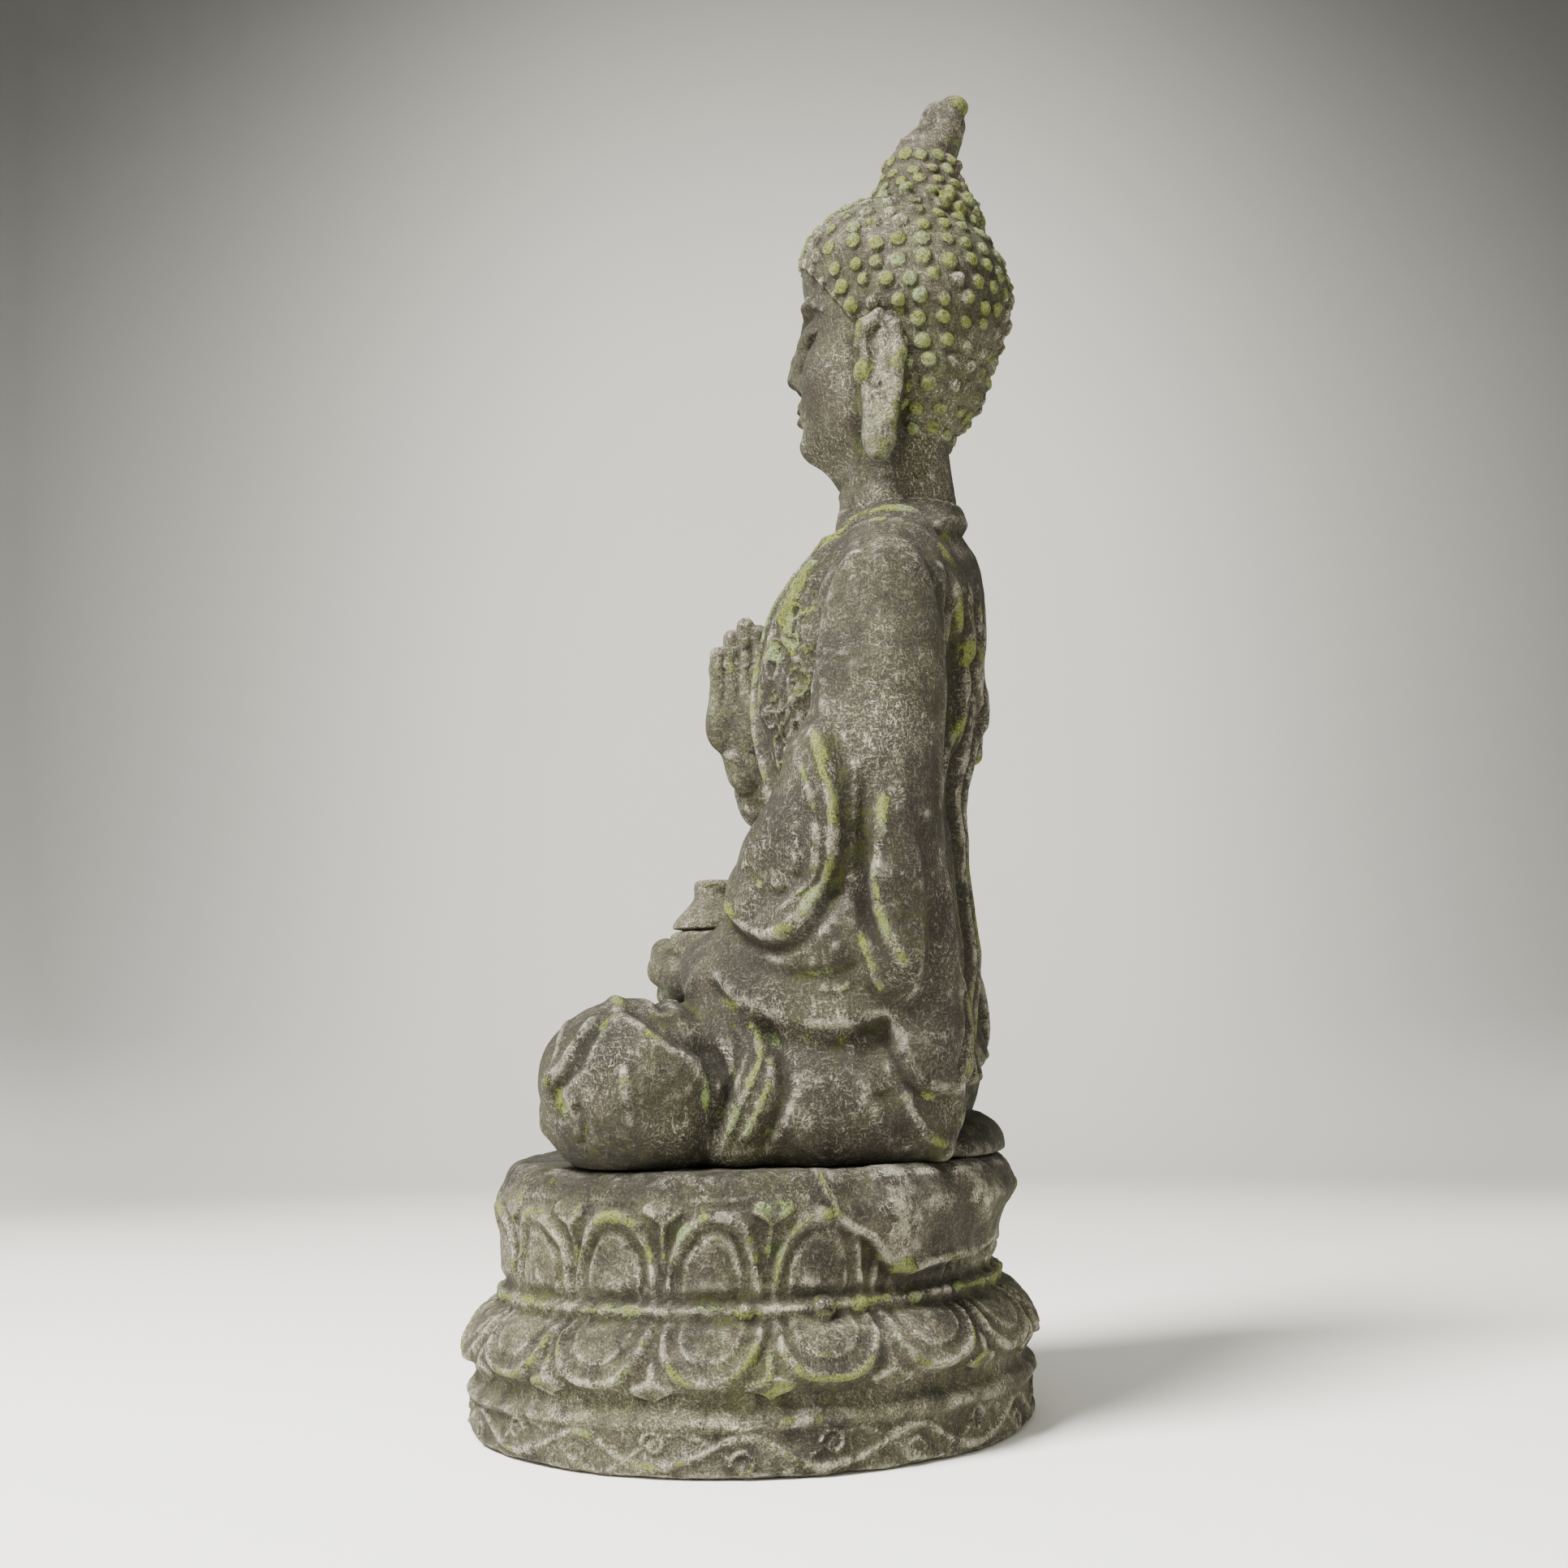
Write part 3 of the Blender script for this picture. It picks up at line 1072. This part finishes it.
def in_forearm(p, s):
    """Faces in front of the elbow's square cut and of the crease at the belly."""
    x, y, z = p[:, 0] * s, p[:, 1], p[:, 2]
    inner, slant, low, high = FOREARMS[s]
    cut = Y_ELBOW - slant * np.clip(X_ELBOW - x, 0, X_ELBOW)
    return (x > inner) & (y < cut) & (z > low) & ((z < high) | (y < Y_WRIST))


def body():
    points, quads = body_clay().skin()
    relief = Relief(points, normals_of(points, quads))
    for folds in (left_side_folds, right_side_folds, front_folds, back_folds, top_folds):
        folds(relief)
    flat = (points[:, 2] < 194) | (points[:, 2] > 674.5)
    relief.height[flat] = 0
    raised = finish_skin(points, quads, relief)
    raised[flat] = points[flat]
    # Old stains in broad patches, darkest low on the figure
    stained = smooth(-0.45, 0.5, BROAD.at(points * 0.9 + 60) + 0.4 * MIDDLE.at(points * 0.8))
    relief.aged = 0.42 + 0.50 * stained + 0.14 * smooth(330, 400, points[:, 2])
    for dirt in (0.35 * stained * (1 - 0.6 * relief.worn), 0.75 * smooth(252, 200, points[:, 2]),
                 0.55 * smooth(-0.1, -0.7, relief.normals[:, 2])):
        relief.lay(dirt=dirt)
    middle = points[quads].mean(axis=1)
    upper = middle[:, 2] > np.where(middle[:, 1] < Y_KNEES, Z_KNEES, Z_HIPS)
    label = np.where(upper, 1, 0)
    label[upper & in_forearm(middle, 1)] = 2
    label[upper & in_forearm(middle, -1)] = 3
    part_skin(raised, quads, relief, label, [
        ("lap_stone", ("legs",)), ("torso_stone", ("torso", "torso_bed")),
        ("left_forearm_stone", ("left_forearm",)),
        ("right_forearm_stone", ("right_forearm",))])


# ---- head ----

HEAD_CELL = 1.25
Z_TOPKNOT = 914
Z_FINIAL = 956
# Rows of curls from the nape up, closer in level where the crown flattens
CURL_LEVELS = [*range(728, 880, 15), 890, 900, 908, 912.5]
CURL_PITCH = 17.5


def head_clay():
    clay = Clay((-106, 34, 652), (106, 232, 1014), HEAD_CELL)
    # Neck, skull and the hair's mass
    clay.limb([(0, 122, 650), (0, 120, 735)], [45, 44], (1, 0.95, 1))
    clay.limb([(0, 126, 660), (0, 120, 712)], [45, 38], (1, 0.95, 1), soft=10)
    clay.ball((0, 135, 836), (75, 75, 73), 10)
    clay.ball((0, 150, 784), (62, 41, 50), 16)
    clay.ball((0, 120, 857), (71, 67, 57), 8)
    # Face
    clay.ball((0, 100, 790), (61, 44, 80), 14)
    clay.ball((0, 94, 750), (54, 43, 46), 14)
    clay.ball((0, 64, 729), (19, 15.5, 14), 12)
    clay.limb([(-34, 116, 722), (0, 92, 716), (34, 116, 722)], [16, 20, 16], soft=14)
    for s in SIDES:
        clay.ball((s * 31, 74, 774), (22, 17, 22), 14)
        clay.carve(ball((s * 27, 54, 811), (18, 10, 10)), 12)
        clay.ball((s * 27, 70, 810), (15.5, 13.5, 9.5), 4)
        # Brow, and the lids half closed over the eye
        brow = [(s * 6, 58, 824), (s * 20, 57, 832), (s * 36, 62, 832), (s * 50, 74, 822)]
        clay.limb(brow, [2.6, 3.2, 3.0, 2.0], soft=7)
        upper = [(s * 13, 62, 808), (s * 21, 57.4, 807), (s * 30, 57.2, 806), (s * 41, 63, 807)]
        clay.limb(upper, [2.0, 2.5, 2.5, 1.9], soft=3)
        lower = [(s * 14, 62, 805), (s * 24, 58.8, 801), (s * 34, 60.2, 802), (s * 42, 65, 806)]
        clay.limb(lower, [1.6, 2.0, 1.9, 1.5], soft=3)
        # Nostril wing
        clay.ball((s * 9.5, 55, 776), (7.2, 9.0, 6.6), 5)
        clay.carve(ball((s * 5.6, 50, 768.5), (2.8, 4.4, 2.8)), 2.5)
    nose = [(0, 58, 824), (0, 54, 809), (0, 49.5, 795), (0, 46.5, 782)]
    clay.limb(nose, [5.2, 5.8, 6.6, 7.4], soft=7)
    # Lips and the hollow under them
    clay.ball((0, 64, 754), (23, 12, 14), 10)
    clay.limb([(-20, 58.5, 754.5), (-10, 52.6, 757.5), (0, 50.6, 756.3), (10, 52.6, 757.5),
            (20, 58.5, 754.5)], [1.8, 3.5, 3.5, 3.5, 1.8], soft=3)
    clay.limb([(-15, 56.5, 749.5), (0, 51.4, 747), (15, 56.5, 749.5)], [2.4, 4.8, 2.4], soft=3)
    clay.carve(limb([(-21, 57, 753.2), (-9, 50.2, 753), (0, 47.4, 752.6), (9, 50.2, 753),
            (21, 57, 753.2)], [1.0, 1.2, 1.3, 1.2, 1.0]), 1.6)
    clay.carve(ball((0, 47, 738), (12, 6, 4.5)), 8)
    for s in SIDES:
        ear(clay, s)
    # Topknot and the leaning jewel on it
    clay.limb([(0, 146, 900), (0, 147, 934), (0, 150, 951)], [44, 28, 19], soft=8)
    clay.ball((0, 151, 959), (20, 20, 9), 3)
    clay.limb([(0, 157, 962), (0, 164, 978), (0, 173, 991)], [17, 15, 8.5], soft=5)
    clay.keep(671.0, 1000.0)
    return clay


def ear(clay, s):
    """A long ear: a flat plate, a hollow in it, a rolled rim, a fold and a broad lobe."""
    x = s * 69
    clay.limb([(s * 58, 118, 792), (s * 56, 118, 736)], [17, 13], soft=8)
    clay.limb([(x, 117, 792), (x, 117, 750), (x - s * 3, 116, 716)],
            [14.5, 13, 13], (0.6, 1, 1), soft=6)
    clay.carve(limb([(x + s * 9, 115, 790), (x + s * 9, 115, 756)], [9.5, 7.5], (0.8, 0.8, 1)), 3)
    rim = [(x + s * 2, 102, 786), (x + s * 4, 106, 800), (x + s * 5, 118, 806), (x + s * 6, 130, 797),
            (x + s * 6, 133, 778), (x + s * 5, 129, 752), (x + s * 3, 126, 730)]
    clay.limb(rim, [3.6, 4.4, 4.8, 5.0, 5.0, 4.8, 4.4], soft=2.5)
    clay.limb([(x + s * 3, 119, 792), (x + s * 5, 121, 774), (x + s * 4, 115, 754)],
            [2.6, 3.2, 3.0], soft=3)
    clay.ball((x + s * 2, 103, 764), (5.5, 5, 9), 4)
    clay.ball((x + s * 1, 116, 716), (8.0, 12.5, 19), 4)


def hair_edge(points):
    """The level of the hair's lower edge at each point: brow, temple, nape."""
    temple = np.clip((points[:, 1] - 54.0) / 44.0, 0, 1)
    nape = smooth(112.0, 140.0, points[:, 1])
    return 866 - 60 * temple - 84 * nape


def rows_of_curls(points, axis_y, levels, pitch):
    """Centres of curls set in staggered rows round an upright axis, on the skin."""
    centres = []
    sectors = 120
    for row, level in enumerate(levels):
        near = points[np.abs(points[:, 2] - level) < 1.2]
        across, along = near[:, 0], near[:, 1] - axis_y
        radius = np.hypot(across, along)
        sector = ((np.arctan2(across, -along) / (2 * math.pi) + 0.5) * sectors).astype(int)
        outline = [near[sector == k][radius[sector == k].argmax()]
                   for k in range(sectors) if (sector == k).any()]
        outline = np.array(outline + outline[:1])
        run = np.append(0, np.cumsum(np.linalg.norm(np.diff(outline, axis=0), axis=1)))
        count = max(5, int(round(run[-1] / pitch)))
        for place in (np.arange(count) + 0.5 * (row % 2)) * run[-1] / count:
            centres.append([np.interp(place, run, outline[:, k]) for k in range(3)])
    return np.array(centres)


def hairline_curls(scalp):
    """Centres of the small curls along the hair's edge, over the brow from ear to ear."""
    above = scalp[:, 2] - hair_edge(scalp)
    edge = scalp[(np.abs(above - 6) < 3) & (scalp[:, 1] < 98)]
    bearing = np.degrees(np.arctan2(edge[:, 0], 120 - edge[:, 1]))
    return np.array([edge[np.abs(bearing - turn) < 2].mean(axis=0)
                     for turn in np.arange(-70, 71, 10.0)
                     if (np.abs(bearing - turn) < 2).any()])


def on_ear(points):
    """1 on the ears, which stand clear of the hair."""
    out = smooth(67, 71, np.abs(points[:, 0]))
    return (out * between(692, 697, 810, 815, points[:, 2])
            * between(92, 97, 138, 142, points[:, 1]))


def head():
    points, quads = head_clay().skin()
    relief = Relief(points, normals_of(points, quads))
    draw = np.random.RandomState(21)
    # The ears stand clear of the hair, so the curls are set out without them
    scalp = points[(np.abs(points[:, 0]) < 70) | (points[:, 1] > 136) | (points[:, 2] > 812)]
    curls = rows_of_curls(scalp, 135, CURL_LEVELS, CURL_PITCH)
    curls = curls[curls[:, 2] > hair_edge(curls) + 12 - 9 * smooth(118, 140, curls[:, 1])]
    curls = curls[(np.abs(curls[:, 0]) < 60) | (curls[:, 1] > 138) | (curls[:, 2] > 814)]
    curls += draw.uniform(-2.2, 2.2, curls.shape)
    relief.studs(curls, draw.uniform(5.4, 7.2, len(curls)), 3.6, 0.95, 0.25)
    small = hairline_curls(scalp)
    relief.studs(small, draw.uniform(3.6, 4.8, len(small)), 2.6, 0.3, 0.5)
    knots = rows_of_curls(points, 147, (921, 932.5, 944), 14.0)
    knots += draw.uniform(-1.8, 1.8, knots.shape)
    relief.studs(knots, draw.uniform(4.6, 6.8, len(knots)), 3.0, 0.8, 0.5)
    # The hair stands over the skin along a clear edge
    ears = on_ear(points)
    hair = smooth(0, 2.5, points[:, 2] - hair_edge(points)) * (1 - ears)
    tufts = relief.moss * (1 - ears)
    relief.height += 2.4 * hair
    side_crease = [(72, 690), (112, 688), (152, 698)]
    for relief.view, crease in (("left", side_crease), ("right", side_crease),
                                ("front", [(-46, 697), (0, 690), (46, 697)])):
        relief.line(crease, 3.0, -1.3, 0.0, 0.4, 0.2)
    # The jewel is cut by worn facets
    jewel = smooth(955, 960, points[:, 2])
    patchy = smooth(-0.3, 0.3, MIDDLE.at(points * 0.7 + 20))
    relief.height += jewel * (2.6 * MIDDLE.at(points * 0.9 + 40) + 1.4 * FINE.at(points * 0.7))
    face = smooth(56, 40, np.abs(points[:, 0])) * smooth(104, 84, points[:, 1])
    face = face * smooth(696, 712, points[:, 2]) * (1 - hair)
    flat = (points[:, 2] < 672.0) | (points[:, 2] > 999.0)
    relief.height[flat] = 0
    raised = finish_skin(points, quads, relief, 1.0 - 0.8 * np.maximum(face, ears))
    raised[flat] = points[flat]
    behind = (smooth(76, 68, np.abs(points[:, 0])) * between(90, 98, 132, 142, points[:, 1])
              * between(690, 704, 796, 806, points[:, 2]))
    cleaner = 1 - 0.4 * np.maximum(face, hair)
    relief.dirt = np.maximum.reduce([relief.dirt * cleaner, 0.4 * face, 0.8 * behind])
    relief.worn = np.maximum(relief.worn * (1 - 0.7 * face), 0.35 * ears)
    relief.aged = 0.45 * (1 - hair) * (1 - ears)
    lobe = ears * smooth(730, 708, points[:, 2])
    relief.moss = np.maximum.reduce([relief.moss * (1 - face), 0.7 * jewel * patchy, 0.95 * tufts,
                                     0.4 * lobe, 0.5 * ears * patchy])
    label = np.digitize(points[quads].mean(axis=1)[:, 2], [Z_TOPKNOT, Z_FINIAL])
    part_skin(raised, quads, relief, label, [
        ("head_stone", ("head", "neck_bed")), ("topknot_stone", ("topknot",)),
        ("finial_stone", ("finial",))])


# ---- hands and jar ----

HAND_CELL = 1.15
JAR_AT = (-14, -24)
JAR_AROUND = 300
JAR_FLUTES = 12
Z_KNOB = 394


def right_hand():
    """Raised before the chest, palm in, the little finger to the front."""
    clay = Clay((-82, -66, 466), (18, 46, 624), HAND_CELL)
    x = -36
    clay.limb([(x - 6, 2, 484), (x - 1, -6, 512)], [19, 18], (0.75, 1.15, 1))
    clay.limb([(x, -10, 520), (x + 1, -8, 544)], [16, 17], (0.6, 1.25, 1), soft=10)
    clay.ball((x + 4, 3, 526), (12, 14, 24), 8)
    clay.ball((x + 2, -24, 522), (11, 10, 20), 8)
    for y, top, lean in ((-23.5, 575, 0), (-12.5, 588, 0), (-1.5, 597, 1), (9, 591, 1)):
        clay.limb([(x + 1, y, 530), (x, y - lean, 564), (x + 4, y, top)],
                [8.2, 7.7, 6.8], soft=3.0)
    clay.limb([(x + 9, 8, 524), (x + 16, 12, 544), (x + 13, 8, 560)], [8.0, 6.8, 5.6], soft=2.5)
    points, quads = clay.skin()
    relief = Relief(points, normals_of(points, quads))
    for y, top in ((-23.5, 570), (-12.5, 582), (-1.5, 592), (9, 586)):
        relief.line([(y, 532), (y, top)], 3.4, 0.6, 0.75, 0.0, 0.1)
        relief.line([(y + 5.5, 538), (y + 5.5, top - 4)], 1.4, -1.0, 0.0, 0.7, 0.1)
        for level in (top - 14, top - 30):
            relief.line([(y - 5, level), (y + 5, level)], 1.4, -0.8, 0.0, 0.6, 0.3)
    whole_piece("right_hand_stone", points, quads, relief, 0.55, "right_hand")


def left_hand():
    """Cupped under the jar, the thumb along its front."""
    clay = Clay((-92, -116, 284), (108, 66, 400), HAND_CELL)
    clay.limb([(66, -8, 334), (34, -22, 322)], [19, 21], (1, 1.15, 0.8))
    clay.ball((-4, -28, 310), (48, 40, 15), 10)
    clay.limb([(34, -40, 320), (12, -60, 330), (-14, -64, 343)], [14, 13, 11.5], soft=6)
    clay.limb([(30, -30, 312), (-6, -56, 316), (-36, -48, 322)], [12, 11, 10], soft=8)
    for k, y in enumerate((-38, -23, -8, 7)):
        clay.limb([(-30, y, 310), (-56, y + 1, 322), (-54, y + 2, 342 - 3 * k)],
                [8.6, 8.0, 6.6], soft=2.5)
    points, quads = clay.skin()
    relief = Relief(points, normals_of(points, quads))
    relief.line([(-72, 345), (-50, 348)], 4, 0.5, 0.8, 0.0, 0.1)
    whole_piece("left_hand_stone", points, quads, relief, 0.6, "left_hand")


def turned(name, profile, node, flutes=0, moss=0.0):
    """A turned piece round the jar's axis, from (radius, level) pairs."""
    rows = closer(profile, lambda a, b: 0.9)
    angle = 2 * np.pi * np.arange(JAR_AROUND) / JAR_AROUND
    radius = rows[:, :1] + flutes * np.cos(angle * JAR_FLUTES) * smooth(8, 20, rows[:, :1])
    points, quads = rings(JAR_AT[0] + radius * np.cos(angle), JAR_AT[1] + radius * np.sin(angle),
                          rows[:, 1:])
    relief = Relief(points, normals_of(points, quads))
    relief.moss = moss * bell(points[:, 2] - Z_KNOB, 2.5)
    whole_piece(name, points, quads, relief, 0.6, node)


def jar():
    turned("jar_stone", [(1, 316), (24, 316), (33, 320), (38, 328), (39, 340), (37, 352), (33, 360),
            (1, 360)], "jar", flutes=0.8)
    turned("jar_lid_stone", [(1, 360), (33, 360), (34.5, 363), (32, 368), (26, 374), (20, 380),
            (17, 385), (17.5, 391), (17, 396), (14, 398), (1, 398)], "jar_lid", moss=0.8)


# ---- studio ----

FLOOR_RADIUS = 2.3
WALL_RADIUS = 3.7
WALL_TOP = 4.2
FLOOR_AROUND = 192
BRIGHT_AXIS = math.radians(6.5)
BRIGHT_STEP = math.radians(60)


def wall_shade(x, y, z):
    """The backdrop's paint: palest round the object and darker far up and aside."""
    off = (math.atan2(y, x) - BRIGHT_AXIS) % BRIGHT_STEP
    off = min(off, BRIGHT_STEP - off)
    radius = math.hypot(x, y)
    aside = radius * math.sin(off)
    far = math.hypot(1.15 * aside, max(0.0, z - 0.95))
    vignette = 1 - 0.90 * smooth(0.8, 2.75, far) * smooth(0.02, 0.3, z)
    floor = 1 - 0.08 * smooth(0.4, 1.6, radius) - 0.25 * smooth(1.4, 2.4, radius)
    floor -= 0.20 * smooth(0.4, 1.5, aside)
    return float(vignette * floor)


def studio():
    """A pale floor that curves up into a wall all round."""
    bend = WALL_RADIUS - FLOOR_RADIUS
    curve = [math.pi / 2 * k / 20 for k in range(1, 21)]
    profile = [(FLOOR_RADIUS * k / 24, 0.0) for k in range(1, 25)]
    profile += [(FLOOR_RADIUS + bend * math.sin(a), bend * (1 - math.cos(a))) for a in curve]
    profile += [(WALL_RADIUS, bend + (WALL_TOP - bend) * k / 14) for k in range(1, 15)]
    turns = [2 * math.pi * k / FLOOR_AROUND for k in range(FLOOR_AROUND)]
    points = [(0.0, 0.0, 0.0)]
    points += [(r * math.cos(a), r * math.sin(a), level) for r, level in profile for a in turns]
    pairs = [(1 + k, 1 + (k + 1) % FLOOR_AROUND) for k in range(FLOOR_AROUND)]
    faces = [(0, a, b) for a, b in pairs]
    for start in range(0, (len(profile) - 1) * FLOOR_AROUND, FLOOR_AROUND):
        faces += [(start + a, start + a + FLOOR_AROUND, start + b + FLOOR_AROUND, start + b)
                  for a, b in pairs]
    mesh = bpy.data.meshes.new("floor")
    mesh.from_pydata(points, [], faces)
    mesh.polygons.foreach_set("use_smooth", np.ones(len(mesh.polygons), bool))
    layer = mesh.attributes.new("shade", "FLOAT", "POINT")
    layer.data.foreach_set("value", [wall_shade(*p) for p in points])
    backdrop = bpy.data.objects.new("floor", mesh)
    bpy.context.collection.objects.link(backdrop)
    n = Nodes("pale_floor")
    pale = n.mix(n.noise(3.0, 3.0), colour(243, 241, 231), colour(245, 243, 234))
    n.wire("Base Color", n.mix(n.attribute("shade"), (0, 0, 0, 1), pale))
    n.wire("Normal", n.bump(n.noise(160.0, 3.0), 0.0005, 0.2))
    n.shader.inputs["Roughness"].default_value = 0.9
    backdrop.data.materials.append(n.material)


def lamp(name, place, target, size, watts):
    light = bpy.data.lights.new(name, "AREA")
    light.shape = "DISK"
    light.size = size
    light.energy = watts
    holder = bpy.data.objects.new(name, light)
    bpy.context.collection.objects.link(holder)
    holder.location = place
    aim = Vector(target) - Vector(place)
    holder.rotation_euler = aim.to_track_quat("-Z", "Y").to_euler()


def lights():
    lamp("key", (1.8, -1.3, 3.15), (0, 0, 0.4), 1.5, 560)
    lamp("fill", (2.6, 0.2, 1.5), (0, 0, 0.4), 2.0, 14)
    lamp("back", (-2.4, -0.8, 2.8), (0, 0, 0.5), 2.0, 15)
    world = bpy.data.worlds.new("world")
    world.use_nodes = True
    sky = world.node_tree.nodes["Background"]
    sky.inputs["Color"].default_value = (0.94, 0.96, 0.96, 1)
    sky.inputs["Strength"].default_value = 0.32
    bpy.context.scene.world = world


CAMERA_AZIMUTH = 99.0
CAMERA_DISTANCE = 1.65
CAMERA_HEIGHT = 0.30
CAMERA_YAW = -1.075
CAMERA_PITCH = 5.867
CAMERA_ROLL = 1.0


def camera():
    """Seen from the figure's left side and a little behind, from low down."""
    side = math.radians(CAMERA_AZIMUTH)
    heading = math.radians(CAMERA_AZIMUTH + CAMERA_YAW)
    pitch = math.radians(CAMERA_PITCH)
    roll = math.radians(CAMERA_ROLL)
    forward = Vector((-math.sin(heading) * math.cos(pitch), math.cos(heading) * math.cos(pitch),
                      math.sin(pitch)))
    level = Vector((math.cos(heading), math.sin(heading), 0))
    upright = level.cross(forward)
    right = level * math.cos(roll) - upright * math.sin(roll)
    up = upright * math.cos(roll) + level * math.sin(roll)
    view = Matrix((right, up, -forward)).transposed().to_4x4()
    view.translation = (CAMERA_DISTANCE * math.sin(side), -CAMERA_DISTANCE * math.cos(side),
                        CAMERA_HEIGHT)
    lens = bpy.data.cameras.new("camera")
    lens.lens = 50
    lens.sensor_width = 36
    holder = bpy.data.objects.new("camera", lens)
    bpy.context.collection.objects.link(holder)
    holder.matrix_world = view
    bpy.context.scene.camera = holder


def inner_fixings():
    """The dowels and pins keep their CAD shapes and get metal finishes."""
    for metal, names in INNER.values():
        for name in names:
            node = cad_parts[name]
            node.data.materials.clear()
            node.data.materials.append(metal)


inner_fixings()
pedestal()
body()
head()
right_hand()
left_hand()
jar()
studio()
lights()
camera()
